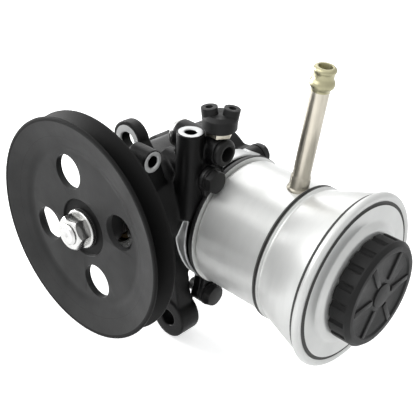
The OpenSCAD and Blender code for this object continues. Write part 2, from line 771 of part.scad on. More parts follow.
// Spool with two lands, a waist and a cup for its spring
module flow_control_spool() {
    spool_r = spool_d / 2;
    cup_end_x = spool_back_x + spool_cup;
    color("#b3b3af") translate([0, valve_y, valve_z]) rotate([0, 90, 0]) rotate_extrude() polygon([
        [0, cup_end_x], [spool_r - 1.6, cup_end_x], [spool_r - 1.6, spool_back_x], [spool_r, spool_back_x],
        [spool_r, cup_end_x + 0.6], [spool_r - 1.2, cup_end_x + 1], [spool_r - 1.2, spool_stop_x - 2.8],
        [spool_r, spool_stop_x - 2.4], [spool_r, spool_stop_x - 0.8],
        [spool_r - 0.8, spool_stop_x - 0.05], [0, spool_stop_x - 0.05]]);
}

// Coil spring, swept as one tube along its helix
module flow_valve_spring() {
    turns = 4;
    sides = 8;
    per_turn = 16;
    wire_r = valve_spring_wire / 2;
    coil_r = spool_d / 2 - 1.9 - wire_r;
    x0 = spring_back_x + wire_r + 0.05;
    x1 = spool_back_x + spool_cup - wire_r - 0.05;
    last = turns * per_turn;
    points = [for (k = [0:last], s = [0:sides - 1])
        let (around = 360 * k / per_turn, tube = 360 * s / sides, r = coil_r + wire_r * cos(tube))
        [x0 + (x1 - x0) * k / last + wire_r * sin(tube), valve_y + r * cos(around), valve_z + r * sin(around)]];
    faces = concat(
        [[for (s = [0:sides - 1]) s]],
        [for (k = [0:last - 1], s = [0:sides - 1]) let (n = (s + 1) % sides)
            [k * sides + s, (k + 1) * sides + s, (k + 1) * sides + n, k * sides + n]],
        [[for (s = [sides - 1:-1:0]) last * sides + s]]);
    color("#c9c9c5") polyhedron(points, faces);
}

module valve_plug() {
    color("#70706d") difference() {
        union() {
            rod_x([valve_y, valve_z], union_thread_r, plug_end_x - 1, spring_back_x);
            rod_x([valve_y, valve_z], union_thread_r + 1.5, plug_end_x - 2, plug_end_x);
        }
        translate([plug_end_x - 3, valve_y, valve_z]) rotate([0, 90, 0]) linear_extrude(plug_len) hexagon(6);
    }
}

// Pressure union with a round head, a threaded stem and a blind port
module pressure_union() {
    color("#1f1f1f") difference() {
        translate([0, valve_y, valve_z]) rotate([0, 90, 0]) rotate_extrude() polygon([
            [0, spool_stop_x], [union_thread_r - 0.6, spool_stop_x],
            [union_thread_r, spool_stop_x + 0.6], [union_thread_r, valve_end_x - 3],
            [union_thread_r - 1.4, valve_end_x - 3], [union_thread_r - 1.4, valve_end_x],
            [union_d / 2, valve_end_x], [union_d / 2, valve_end_x + union_head - 1.5],
            [union_d / 2 - 1.5, valve_end_x + union_head], [0, valve_end_x + union_head]]);
        rod_x([valve_y, valve_z], port_d / 2, valve_end_x + union_head - port_depth, valve_end_x + union_head + 1);
        rod_x([valve_y, valve_z], port_d / 4, spool_stop_x - 1, valve_end_x);
    }
}

module union_o_ring() {
    section = 1.3;
    color("#161616") translate([valve_end_x - 1.5, valve_y, valve_z]) rotate([0, 90, 0]) rotate_extrude()
        translate([union_thread_r - section / 2, 0]) circle(d = section);
}

// Plated hexagon base of the air valve
module air_valve_base() {
    color("#c8c4b4") translate([air_x, air_y, air_seat_z]) {
        linear_extrude(air_hex_h) hexagon(air_hex_af);
        translate([0, 0, -air_spigot_len]) cylinder(h = air_spigot_len + little, d = air_spigot_d);
    }
}

// The two nipples' axes, which lean apart from the middle of the body
module at_nipples() {
    nipple_turn = 40;
    for (side = [-1, 1]) rotate([0, 0, nipple_turn]) translate([side * (nipple_d / 2 + 0.5), 0, air_body_h / 2])
        rotate([0, side * nipple_lean, 0]) children();
}

// Moulded air valve body with two hollow hose nipples in a V
module air_valve_body() {
    body_r = air_body_d / 2;
    color("#151515") translate([air_x, air_y, air_body_z]) difference() {
        union() {
            rotate_extrude() polygon([
                [0, 0], [body_r - 1, 0], [body_r, 1], [body_r, air_body_h - 2],
                [body_r - 2, air_body_h], [0, air_body_h]]);
            at_nipples() cylinder(h = nipple_len + air_body_h / 2, d = nipple_d);
        }
        at_nipples() cylinder(h = nipple_len + air_body_h, d = nipple_bore_d);
    }
}

// Base flange welded under the cup
module reservoir_flange() {
    color("#b4b4ae") slab_x(seat_x, cup_x) difference() {
        union() {
            translate(res_axis) circle(d = flange_d);
            for (angle = res_bolt_angles) arm(res_axis, flange_d / 4, res_axis + res_bolt_r * unit(angle), res_lug_r);
        }
        translate(res_axis) circle(d = suction_d);
        for (angle = res_bolt_angles) translate(res_axis + res_bolt_r * unit(angle)) circle(d = bolt_d + 0.6);
    }
}

module reservoir_o_ring() {
    color("#161616") turned_x() translate([suction_d / 2 + 4.3, seat_x - 1.05]) circle(r = 1);
}

module reservoir_bolts() {
    color("#1e1e1e") for (angle = res_bolt_angles) {
        at = res_axis + res_bolt_r * unit(angle);
        translate([cup_x, at.x, at.y]) rotate([0, 90, 0]) bolt(flange_t + bolt_grip - 1);
    }
}

// Axis of the return pipe, with its foot at the cup's wall
module along_pipe() {
    translate([pipe_x, res_y, res_z + cup_r]) rotate([0, pipe_lean, 0]) children();
}

// Deep-drawn cup with a rounded foot and a rolled seam
module reservoir_cup() {
    foot_r = 4;
    color("#d3d3cd") difference() {
        turned_x() difference() {
            union() {
                band(0, cup_r - foot_r, cup_x, cup_x + foot_r);
                translate([cup_r - foot_r, cup_x + foot_r]) circle(foot_r);
                band(0, cup_r, cup_x + foot_r, seam_x);
                band(0, cup_r + seam_rise, seam_x - 1.6, seam_x);
            }
            translate([-foot_r * 2, cup_x]) square([foot_r * 2, cup_len]);
            band(0, suction_d / 2, cup_x - 1, cup_x + 2);
            band(0, cup_r - foot_r, cup_x + sheet_t, cup_x + foot_r + little);
            translate([cup_r - foot_r, cup_x + foot_r]) circle(foot_r - sheet_t);
            band(0, cup_r - sheet_t, cup_x + foot_r, seam_x + 1);
        }
        along_pipe() translate([0, 0, -6]) cylinder(h = 12, d = pipe_d + 2 * seat_gap);
    }
}

// Flared collar between the cup and the lid
module reservoir_collar() {
    foot_x = seam_x + 3.4;
    color("#d3d3cd") turned_x() polygon([
        [cup_r - sheet_t, seam_x], [cup_r + seam_rise, seam_x], [cup_r + seam_rise, seam_x + 1.4],
        [cup_r, seam_x + 1.8], [cup_r, foot_x - 0.4], [cup_r + 1, foot_x],
        [collar_r, bead_x], [collar_r - sheet_t, bead_x], [cup_r + 1 - sheet_t, foot_x + 1],
        [cup_r - sheet_t, foot_x]]);
}

// Lid with a rolled bead, a raised middle and the filler neck
module reservoir_lid() {
    bead_r = bead_t / 2;
    color("#c9c9c4") turned_x() difference() {
        union() {
            translate([lid_bead_at_r, bead_x + bead_r]) circle(bead_r);
            polygon([
                [neck_r - sheet_t, neck_x], [neck_r + 6, neck_x], [neck_r + 9, lid_x],
                [collar_r - 2, lid_x], [collar_r - 2, lid_x + sheet_t],
                [neck_r + 8.6, lid_x + sheet_t], [neck_r + 5.6, neck_x + sheet_t],
                [neck_r, neck_x + sheet_t], [neck_r - sheet_t, neck_x + sheet_t]]);
            band(neck_r - sheet_t, neck_r, neck_x, neck_end_x);
        }
        translate([lid_bead_at_r, bead_x + bead_r]) circle(bead_r - sheet_t);
    }
}

// Steel return pipe with a welded foot and a beaded end
module return_pipe() {
    pipe_r = pipe_d / 2;
    bead_r = pipe_bead_d / 2;
    end_z = pipe_rise;
    neck_z = end_z - pipe_end_len;
    color("#c2bda6") difference() {
        along_pipe() rotate_extrude() polygon([
            [pipe_bore_d / 2, -4], [pipe_r, -4], [pipe_r, 0], [pipe_foot_d / 2, 0], [pipe_foot_d / 2, 3],
            [pipe_r + 0.6, 8], [pipe_r, 9], [pipe_r, neck_z], [bead_r, neck_z + 2], [bead_r, neck_z + 4],
            [pipe_r + 0.5, neck_z + 6], [pipe_r + 0.5, end_z - 3], [bead_r - 0.6, end_z - 2],
            [bead_r - 0.6, end_z - 1], [pipe_r, end_z], [pipe_bore_d / 2, end_z]]);
        intersection() {
            rod_x(res_axis, cup_r + seat_gap, cup_x, seam_x + collar_len);
            along_pipe() difference() {
                translate([0, 0, -saddle_h]) cylinder(h = 2 * saddle_h, d = 3 * pipe_foot_d);
                translate([0, 0, -saddle_h - 1]) cylinder(h = 2 * saddle_h + 2, d = pipe_d);
            }
        }
    }
}

// Filter basket that stands over the suction hole
module filter_screen() {
    wall = 1;
    window_w = 6;
    filter_r = filter_d / 2;
    foot_x = cup_x + sheet_t;
    color("#8d8d86") difference() {
        turned_x() difference() {
            band(suction_d / 2, filter_r, foot_x, foot_x + filter_len);
            band(0, filter_r - wall, foot_x + wall, foot_x + filter_len - wall);
        }
        for (i = [0:filter_windows - 1])
            translate([foot_x + 4, res_y, res_z]) rotate([360 / filter_windows * i, 0, 0])
                translate([0, -window_w / 2, filter_r - 2 * wall]) cube([filter_len - 8, window_w, 4 * wall]);
    }
}

module cap_gasket() {
    color("#1a1a1a") turned_x()
        band(neck_r - 3, neck_r, neck_end_x + 0.05, neck_end_x + 0.05 + gasket_t);
}

// Screw cap with grooved grips and a ribbed top
module reservoir_cap() {
    cap_r = cap_d / 2;
    rib_n = 6;
    color("#202022") difference() {
        union() {
            turned_x() difference() {
                polygon([
                    [0, cap_skirt_x], [cap_r, cap_skirt_x], [cap_r, cap_end_x - 2],
                    [cap_r - 2, cap_end_x], [cap_r - 5, cap_end_x], [cap_r - 6, cap_end_x - 0.9],
                    [0, cap_end_x - 0.9]]);
                band(0, neck_r + 0.35, cap_skirt_x - 1, cap_inside_x);
            }
            for (i = [0:rib_n - 1]) translate([0, res_y, res_z]) rotate([60 * i + 30, 0, 0])
                translate([cap_end_x - 1.5, -1.5, cap_button_d * 0.65]) cube([1.5, 3, cap_r - cap_rim_w - cap_button_d * 0.65]);
            turned_x() band(0, cap_button_d / 2, cap_end_x - 1.5, cap_end_x);
        }
        for (i = [0:grip_n - 1]) translate([0, res_y, res_z]) rotate([360 / grip_n * i, 0, 0])
            translate([cap_skirt_x - 1, 0, cap_r + 2.2 - grip_depth]) rotate([0, 90, 0])
                cylinder(h = cap_h - 2, r = 2.2);
    }
}

// Dipstick that hangs from the middle of the cap
module dipstick() {
    rod_r = dipstick_d / 2;
    tip_x = cap_inside_x - dipstick_len;
    socket_x = cap_inside_x - dipstick_socket;
    color("#3b3b3c") turned_x() polygon([
        [0, cap_inside_x], [rod_r + 2, cap_inside_x], [rod_r + 2, socket_x], [rod_r, socket_x - 2],
        [rod_r, tip_x + dipstick_end_len + 2], [rod_r + 0.8, tip_x + dipstick_end_len],
        [rod_r + 0.8, tip_x + 1], [rod_r, tip_x], [0, tip_x]]);
}

pulley();
pulley_nut();
nut_washer();
woodruff_key();
pump_shaft();
front_housing();
bearing_snap_ring();
bearing_outer_race();
bearing_inner_race();
bearing_balls();
bearing_cage();
oil_seal();
shaft_bushing();
spring_washer();
front_side_plate();
cam_ring();
rotor();
rotor_snap_ring();
rear_side_plate();
locating_pins();
cover_o_ring();
rear_cover();
cover_bolts();
flow_control_spool();
flow_valve_spring();
valve_plug();
pressure_union();
union_o_ring();
air_valve_base();
air_valve_body();
reservoir_flange();
reservoir_o_ring();
reservoir_bolts();
reservoir_cup();
reservoir_collar();
reservoir_lid();
return_pipe();
filter_screen();
cap_gasket();
reservoir_cap();
dipstick();
for (i = [0:vane_n - 1]) vane(i);
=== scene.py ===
"""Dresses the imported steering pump: turned, cast, plated and moulded pieces on the CAD frame."""

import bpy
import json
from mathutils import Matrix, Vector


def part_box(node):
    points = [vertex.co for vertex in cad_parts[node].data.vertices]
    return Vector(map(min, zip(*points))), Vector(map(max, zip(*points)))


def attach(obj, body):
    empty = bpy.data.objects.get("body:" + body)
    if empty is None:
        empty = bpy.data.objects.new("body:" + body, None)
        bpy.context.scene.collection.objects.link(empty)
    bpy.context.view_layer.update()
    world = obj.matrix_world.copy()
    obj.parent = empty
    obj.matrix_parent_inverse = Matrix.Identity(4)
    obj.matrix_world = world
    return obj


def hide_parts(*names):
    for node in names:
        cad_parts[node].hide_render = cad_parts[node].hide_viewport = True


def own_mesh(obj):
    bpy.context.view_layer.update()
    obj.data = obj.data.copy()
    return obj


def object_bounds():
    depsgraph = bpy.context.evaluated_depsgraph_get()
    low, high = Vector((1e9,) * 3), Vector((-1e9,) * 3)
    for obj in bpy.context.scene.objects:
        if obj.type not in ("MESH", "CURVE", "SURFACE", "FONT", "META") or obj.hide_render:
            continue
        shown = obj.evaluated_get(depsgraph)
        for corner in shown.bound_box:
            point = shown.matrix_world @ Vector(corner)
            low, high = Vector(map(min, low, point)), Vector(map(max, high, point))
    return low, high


bl_info = {
    "name": "Steering Pump Dresser",
    "version": (1, 0, 0),
    "blender": (4, 5, 0),
    "location": "View3D > Sidebar > Pump",
    "description": "Models the visible pieces and finishes of a belt-driven steering pump",
    "category": "Object",
}

import json
import math

import bpy
from bpy.props import FloatProperty, FloatVectorProperty, IntProperty, PointerProperty
from mathutils import Matrix, Vector

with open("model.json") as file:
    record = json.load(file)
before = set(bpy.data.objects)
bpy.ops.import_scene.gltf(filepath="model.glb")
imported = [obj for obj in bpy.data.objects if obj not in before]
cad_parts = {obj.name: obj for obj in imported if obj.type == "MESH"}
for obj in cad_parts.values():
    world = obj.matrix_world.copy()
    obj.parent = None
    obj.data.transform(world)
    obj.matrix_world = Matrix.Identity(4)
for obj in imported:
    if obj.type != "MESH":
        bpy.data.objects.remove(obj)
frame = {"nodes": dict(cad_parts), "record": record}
CAD_BOX = [list(corner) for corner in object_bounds()]
NODES = frame["nodes"]
MOUNTS = {mount["name"]: mount for mount in frame["record"]["mounts"]}
SLOT_OF = {row["node"]: row["material_slot"] for row in frame["record"]["subparts"]}
BODY_OF = {node: body for body, nodes in frame["record"]["behaviour"]["bodies"].items() for node in nodes}
MM = 0.001
ORIGIN = (0, 0, 0)
ALONG_SHAFT = (0, 1, 0)
ALONG_TANK = (1, 0, 0)
FAR = 1.0

# Boxes and axes that the CAD frame gives, in metres
PULLEY_LOW, PULLEY_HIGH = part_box("pulley")
WASHER_LOW, WASHER_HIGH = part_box("nut_washer")
SHAFT_LOW, SHAFT_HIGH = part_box("pump_shaft")
CUP_LOW, CUP_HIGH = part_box("reservoir_cup")
COLLAR_LOW, COLLAR_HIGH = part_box("reservoir_collar")
LID_LOW, LID_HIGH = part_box("reservoir_lid")
LID_RADIUS = (LID_HIGH.z - LID_LOW.z) / 2
TANK_AXIS = (CUP_LOW + CUP_HIGH) / 2
PIPE_TIP = Vector(MOUNTS["return_hose_end"]["pos_m"])
PIPE_AXIS = Vector(MOUNTS["return_hose_end"]["axis"]).normalized()

# Distances at which points count as one, in metres
OUTLINE_MERGE = 1e-7
CAD_MERGE = 1e-6
TURN_MERGE = 2e-6
CORNER_REACH = 2e-6

# Fillets from which a corner gets more steps, and the height of a finish's grain, in metres
SMALL_FILLET = 0.7 * MM
LARGE_FILLET = 2.5 * MM
GRAIN_HEIGHT = 0.3 * MM

# Angles in degrees: flat faces that are joined, edges that are rounded or shaded sharp, and the lid's bead
FLAT_ANGLE = 0.5
EDGE_ANGLE = 35
SHADE_ANGLE = 40
BEAD_ANGLES = range(130, -111, -20)

# Steps round the smaller turned pieces
SMALL_STEPS = 96
PIPE_STEPS = 72

# Widths of the rounded edges of the fittings, in millimetres
EDGE_WIDTHS = {
    "pulley_nut": 0.3, "cover_bolts": 0.3, "reservoir_bolts": 0.3, "pressure_union": 0.35, "valve_plug": 0.3,
    "air_valve_base": 0.3, "air_valve_body": 0.5, "reservoir_flange": 0.35, "reservoir_cap": 0.4,
}

# The photograph's camera: azimuth, elevation and roll in degrees, place in metres and lens in millimetres
PHOTO_ANGLES = (41.821, 31.042, 3.243)
PHOTO_PLACE = (0.29369, -0.22843, 0.23529)
PHOTO_LENS = 69.454

# Each lamp's name, place, target, size in metres and power in watts
LAMPS = (
    ("key_light", (-0.12, -0.30, 0.42), (0.02, 0.02, 0.02), 0.4, 2.1),
    ("fill_light", (0.75, -0.75, 0.45), (0.06, 0.05, 0), 1.2, 0.8),
    ("top_light", (0.1, 0.15, 1.1), (0.05, 0.05, 0), 1.4, 4.0),
    ("side_light", (-0.95, -0.15, 0.16), (0, 0, 0), 0.35, 12.0),
    ("back_light", (-0.62, 0.62, 0.62), (0.03, 0.05, 0), 0.7, 3.0),
)
WORLD_LIGHT = 0.45
FLOOR_SIZE = 8
FLOOR_GLOW = 0.6


# Property groups


class PumpSizes(bpy.types.PropertyGroup):
    """Sizes that the visible pieces take beside the CAD frame"""

    groove_depth: FloatProperty(
        name="Groove Depth", description="Depth of the belt groove", default=10.16 * MM, unit="LENGTH",
    )
    web_hole: FloatProperty(
        name="Web Hole", description="Radius of each hole in the pulley's web", default=9.9 * MM, unit="LENGTH",
    )
    web_hole_circle: FloatProperty(
        name="Hole Circle", description="Radius of the circle on which the web holes lie", default=31.5 * MM,
        unit="LENGTH",
    )
    web_hole_turn: FloatProperty(
        name="Hole Turn", description="Angle of the first web hole", default=math.radians(20), subtype="ANGLE",
    )
    sheet: FloatProperty(
        name="Sheet", description="Thickness of the tank's sheet", default=1.2 * MM, unit="LENGTH",
    )
    seam: FloatProperty(
        name="Seam", description="Height of the tank's rolled seam", default=1.8 * MM, unit="LENGTH",
    )
    bead: FloatProperty(
        name="Bead", description="Radius of the lid's rolled bead", default=2.5 * MM, unit="LENGTH",
    )
    neck: FloatProperty(
        name="Neck", description="Radius of the filler neck", default=26.5 * MM, unit="LENGTH",
    )
    pipe: FloatProperty(
        name="Pipe", description="Radius of the return pipe", default=4.8 * MM, unit="LENGTH",
    )
    pipe_rise: FloatProperty(
        name="Pipe Rise", description="Length of the return pipe over the tank", default=71 * MM, unit="LENGTH",
    )
    thread: FloatProperty(
        name="Thread", description="Radius of the shaft's thread", default=6 * MM, unit="LENGTH",
    )
    casting_voxel: FloatProperty(
        name="Casting Grid", description="Grid at which the castings' edges are rounded", default=0.85 * MM,
        unit="LENGTH",
    )
    steps: IntProperty(name="Turning Steps", description="Steps round a large turned piece", default=144)


class PumpColours(bpy.types.PropertyGroup):
    """Colours of the pump's finishes"""

    pulley: FloatVectorProperty(
        name="Pulley", description="Satin paint of the pulley", subtype="COLOR", size=3,
        default=(0.027, 0.027, 0.027),
    )
    # Painted shade: this black stands in for the shade in the belt groove and hub recess, and is also laid on the
    # pulley's lips and rear rim
    pulley_lips_and_shade: FloatVectorProperty(
        name="Pulley Lips and Shade", description="Blacker paint of the lips, groove and hub ring", subtype="COLOR", size=3,
        default=(0.006, 0.006, 0.006),
    )
    casting: FloatVectorProperty(
        name="Casting", description="Black paint of the castings", subtype="COLOR", size=3,
        default=(0.0022, 0.0022, 0.0023),
    )
    worn_casting: FloatVectorProperty(
        name="Casting Wear", description="Rubbed edges of the castings", subtype="COLOR", size=3,
        default=(0.05, 0.05, 0.05),
    )
    machined: FloatVectorProperty(
        name="Machined", description="Bare machined faces", subtype="COLOR", size=3,
        default=(0.48, 0.485, 0.485),
    )
    bolts: FloatVectorProperty(
        name="Bolts", description="Black oxide of the bolts and plugs", subtype="COLOR", size=3,
        default=(0.006, 0.006, 0.006),
    )
    worn_bolts: FloatVectorProperty(
        name="Bolt Wear", description="Rubbed edges of the bolts and plugs", subtype="COLOR", size=3,
        default=(0.06, 0.06, 0.06),
    )
    zinc: FloatVectorProperty(
        name="Zinc", description="Bright zinc of nut and washer", subtype="COLOR", size=3,
        default=(0.50, 0.50, 0.49),
    )
    shaft: FloatVectorProperty(
        name="Shaft", description="Ground steel of the shaft", subtype="COLOR", size=3,
        default=(0.55, 0.55, 0.54),
    )
    bearing: FloatVectorProperty(
        name="Bearing", description="Fine ground steel of the bearing", subtype="COLOR", size=3,
        default=(0.3, 0.3, 0.29),
    )
    bronze: FloatVectorProperty(
        name="Bronze", description="Plain bronze of the bush", subtype="COLOR", size=3,
        default=(0.20, 0.14, 0.07),
    )
    tank: FloatVectorProperty(
        name="Tank", description="Plated sheet of the tank", subtype="COLOR", size=3,
        default=(0.71, 0.715, 0.70),
    )
    # Painted shade: dark lines that stand in for the shade in the tank's seam gaps and lid groove
    seam_shade: FloatVectorProperty(
        name="Seam Shade", description="Dark lines in the tank's seams", subtype="COLOR", size=3,
        default=(0.03, 0.03, 0.028),
    )
    pipe: FloatVectorProperty(
        name="Pipe", description="Passivated plate of the pipe", subtype="COLOR", size=3,
        default=(0.62, 0.58, 0.49),
    )
    pipe_tip: FloatVectorProperty(
        name="Pipe Tip", description="Duller plate of the pipe's hose end", subtype="COLOR", size=3,
        default=(0.36, 0.34, 0.22),
    )
    plastic: FloatVectorProperty(
        name="Plastic", description="Moulded plastic of cap and air valve", subtype="COLOR", size=3,
        default=(0.011, 0.011, 0.011),
    )
    rubber: FloatVectorProperty(
        name="Rubber", description="Matt rubber of the seals", subtype="COLOR", size=3,
        default=(0.018, 0.018, 0.018),
    )
    gauze: FloatVectorProperty(
        name="Gauze", description="Wire of the filter's gauze", subtype="COLOR", size=3,
        default=(0.5, 0.5, 0.47),
    )


# Modelling helpers


def sizes():
    """The scene's sizes."""
    return bpy.context.scene.pump_sizes


def colours():
    """The scene's colours."""
    return bpy.context.scene.pump_colours


def drop_selection():
    """Leaves edit mode and deselects everything."""
    if bpy.context.object and bpy.context.object.mode != "OBJECT":
        bpy.ops.object.mode_set(mode="OBJECT")
    bpy.ops.object.select_all(action="DESELECT")


def work_on(piece):
    """Selects one piece alone and makes it active."""
    drop_selection()
    piece.select_set(True)
    bpy.context.view_layer.objects.active = piece


def select_points(piece, test):
    """Selects the vertices that pass the test, in edit mode."""
    bpy.ops.mesh.select_mode(type="VERT")
    bpy.ops.mesh.select_all(action="DESELECT")
    bpy.ops.object.mode_set(mode="OBJECT")
    for vertex in piece.data.vertices:
        vertex.select = test(vertex.co)
    bpy.ops.object.mode_set(mode="EDIT")


def turned(points, axis, centre, steps):
    """Draws a closed outline of (radius, station, fillet), rounds its corners and turns it about an axis.
    The spin operator leaves the faces in another order in each run, and the Screw modifier doesn't."""
    axis = Vector(axis)
    across = Vector((1, 0, 0)) if abs(axis.x) < 0.5 else Vector((0, 1, 0))
    places = [across * radius + axis * station for radius, station, _ in points]
    drop_selection()
    bpy.ops.mesh.primitive_plane_add(size=MM, location=ORIGIN)
    piece = bpy.context.object
    bpy.ops.object.mode_set(mode="EDIT")
    bpy.ops.mesh.select_all(action="SELECT")
    bpy.ops.mesh.merge(type="CENTER")
    bpy.ops.mesh.select_all(action="SELECT")
    bpy.ops.transform.translate(value=places[0])
    for here, there in zip(places, places[1:] + places[:1]):
        bpy.ops.mesh.extrude_vertices_move(TRANSFORM_OT_translate={"value": there - here})
    bpy.ops.mesh.select_all(action="SELECT")
    bpy.ops.mesh.remove_doubles(threshold=OUTLINE_MERGE)
    for fillet in sorted({point[2] for point in points if point[2] > 0}):
        corners = [place for place, point in zip(places, points) if point[2] == fillet]
        select_points(piece, lambda co: any((co - corner).length < CORNER_REACH for corner in corners))
        segments = 2 if fillet < SMALL_FILLET else 4 if fillet < LARGE_FILLET else 7
        bpy.ops.mesh.bevel(offset=fillet, segments=segments, affect="VERTICES", clamp_overlap=True)
    bpy.ops.object.mode_set(mode="OBJECT")
    turn = piece.modifiers.new("Turn", "SCREW")
    turn.axis = "XYZ"[max(range(3), key=lambda index: axis[index])]
    turn.angle = 2 * math.pi
    turn.steps = turn.render_steps = steps
    turn.use_merge_vertices = True
    turn.merge_threshold = TURN_MERGE
    apply_all(piece)
    bpy.ops.object.mode_set(mode="EDIT")
    bpy.ops.mesh.select_all(action="SELECT")
    bpy.ops.transform.translate(value=centre)
    bpy.ops.mesh.remove_doubles(threshold=TURN_MERGE)
    bpy.ops.mesh.delete_loose()
    bpy.ops.mesh.select_all(action="SELECT")
    bpy.ops.mesh.normals_make_consistent(inside=False)
    bpy.ops.object.mode_set(mode="OBJECT")
    return piece


def turned_mm(points, axis, centre, steps, start=0.0):
    """The same with an outline in millimetres whose stations count from start."""
    return turned([(r * MM, start + s * MM, f * MM) for r, s, f in points], axis, centre, steps)


def apply_all(piece):
    """Applies a piece's modifiers in their order."""
    work_on(piece)
    for modifier in list(piece.modifiers):
        bpy.ops.object.modifier_apply(modifier=modifier.name)


def smooth(piece, angle=SHADE_ANGLE):
    """Shades a piece smooth, apart from edges sharper than the angle in degrees."""
    work_on(piece)
    bpy.ops.object.shade_smooth_by_angle(angle=math.radians(angle))


def round_edges(piece, width, angle=EDGE_ANGLE):
    """Rounds the edges that are sharper than the angle in degrees."""
    bevel = piece.modifiers.new("Edges", "BEVEL")
    bevel.width = width
    bevel.segments = 2
    bevel.limit_method = "ANGLE"
    bevel.angle_limit = math.radians(angle)
    apply_all(piece)


def copied(node):
    """A merged copy of a CAD node's mesh."""
    piece = bpy.data.objects.new(node + "_copy", NODES[node].data.copy())
    bpy.context.scene.collection.objects.link(piece)
    work_on(piece)
    if piece.data.has_custom_normals:
        bpy.ops.mesh.customdata_custom_splitnormals_clear()
    bpy.ops.object.mode_set(mode="EDIT")
    bpy.ops.mesh.select_all(action="SELECT")
    bpy.ops.mesh.remove_doubles(threshold=CAD_MERGE)
    bpy.ops.object.mode_set(mode="OBJECT")
    return piece


def edged_copy(node, width):
    """A copy whose flat faces are whole again and whose edges are rounded."""
    piece = copied(node)
    bpy.ops.object.mode_set(mode="EDIT")
    bpy.ops.mesh.select_all(action="SELECT")
    bpy.ops.mesh.dissolve_limited(angle_limit=math.radians(FLAT_ANGLE))
    bpy.ops.object.mode_set(mode="OBJECT")
    round_edges(piece, width)
    smooth(piece, EDGE_ANGLE)
    return piece


def cast_copy(node, voxel):
    """A copy whose edges and inner corners are rounded as a casting's are."""
    piece = copied(node)
    piece.data.remesh_voxel_size = voxel
    bpy.ops.object.voxel_remesh()
    relax = piece.modifiers.new("Relax", "SMOOTH")
    relax.factor = 0.5
    relax.iterations = 5
    apply_all(piece)
    work_on(piece)
    bpy.ops.object.shade_smooth()
    return piece


def cut(piece, cutter):
    """Takes the cutter's shape out of a piece and removes the cutter."""
    difference = piece.modifiers.new("Cut", "BOOLEAN")
    difference.operation = "DIFFERENCE"
    difference.solver = "EXACT"
    difference.object = cutter
    apply_all(piece)
    bpy.data.objects.remove(cutter)


def settle(piece, name, node, material):
    """Names a finished piece, gives it its finish and puts it in a CAD node's place."""
    piece.name = name
    piece.data.name = name
    piece.data.materials.clear()
    piece.data.materials.append(material)
    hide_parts(node)
    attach(piece, BODY_OF[node])


# Shader groups and finishes


def add(tree, kind, **inputs):
    """A node with the values of its inputs; an underscore stands for a space."""
    node = tree.nodes.new(kind)
    for label, value in inputs.items():
        node.inputs[label.replace("_", " ")].default_value = value
    return node


def compute(tree, operation, first, second=None):
    """A Math node; each value is a socket or a number."""
    node = tree.nodes.new("ShaderNodeMath")
    node.operation = operation
    for socket, value in zip(node.inputs, (first, second)):
        if isinstance(value, bpy.types.NodeSocket):
            tree.links.new(value, socket)
        elif value is not None:
            socket.default_value = value
    return node.outputs[0]


def vector_math(tree, operation, first, second=None, scale=None):
    """A Vector Math node between sockets."""
    node = tree.nodes.new("ShaderNodeVectorMath")
    node.operation = operation
    tree.links.new(first, node.inputs[0])
    if second is not None:
        tree.links.new(second, node.inputs[1])
    if scale is not None:
        tree.links.new(scale, node.inputs["Scale"])
    return node


def new_group(name, inputs, outputs):
    """A shader group with its sockets; inputs are (label, kind, default)."""
    group = bpy.data.node_groups.new(name, "ShaderNodeTree")
    for label, kind, default in inputs:
        socket = group.interface.new_socket(name=label, in_out="INPUT", socket_type="NodeSocket" + kind)
        if default is not None:
            socket.default_value = default
    for label in outputs:
        group.interface.new_socket(name=label, in_out="OUTPUT", socket_type="NodeSocketFloat")
    return group, group.nodes.new("NodeGroupInput").outputs, group.nodes.new("NodeGroupOutput").inputs


def surface_breakup_group():
    """Coarse stains and fine grain, which can be stretched along an axis."""
    group, given, result = new_group(
        "surface_breakup",
        (("Coordinates", "Vector", None), ("Scale", "Float", 60.0), ("Stretch", "Vector", (1, 1, 1))),
        ("Coarse", "Fine"),
    )
    stretched = vector_math(group, "MULTIPLY", given["Coordinates"], given["Stretch"]).outputs[0]
    coarse = add(group, "ShaderNodeTexNoise", Detail=4.0, Roughness=0.6)
    fine = add(group, "ShaderNodeTexNoise", Detail=3.0, Roughness=0.7)
    group.links.new(stretched, coarse.inputs["Vector"])
    group.links.new(stretched, fine.inputs["Vector"])
    group.links.new(given["Scale"], coarse.inputs["Scale"])
    group.links.new(compute(group, "MULTIPLY", given["Scale"], 14.0), fine.inputs["Scale"])
    spread = add(group, "ShaderNodeMapRange", From_Min=0.3, From_Max=0.7)
    group.links.new(coarse.outputs["Fac"], spread.inputs["Value"])
    group.links.new(spread.outputs["Result"], result["Coarse"])
    group.links.new(fine.outputs["Fac"], result["Fine"])
    return group


def edge_wear_group():
    """Bare edges where the surface is sharply convex, broken up by grain."""
    group, given, result = new_group(
        "edge_wear",
        (("Coordinates", "Vector", None), ("Start", "Float", 0.54), ("Full", "Float", 0.62)),
        ("Mask",),
    )
    geometry = group.nodes.new("ShaderNodeNewGeometry")
    edge = add(group, "ShaderNodeMapRange")
    group.links.new(geometry.outputs["Pointiness"], edge.inputs["Value"])
    group.links.new(given["Start"], edge.inputs["From Min"])
    group.links.new(given["Full"], edge.inputs["From Max"])
    chips = add(group, "ShaderNodeTexNoise", Scale=420.0, Detail=4.0)
    group.links.new(given["Coordinates"], chips.inputs["Vector"])
    broken = add(group, "ShaderNodeMapRange", From_Min=0.42, From_Max=0.6)
    group.links.new(chips.outputs["Fac"], broken.inputs["Value"])
    group.links.new(compute(group, "MULTIPLY", edge.outputs["Result"], broken.outputs["Result"]), result["Mask"])
    return group


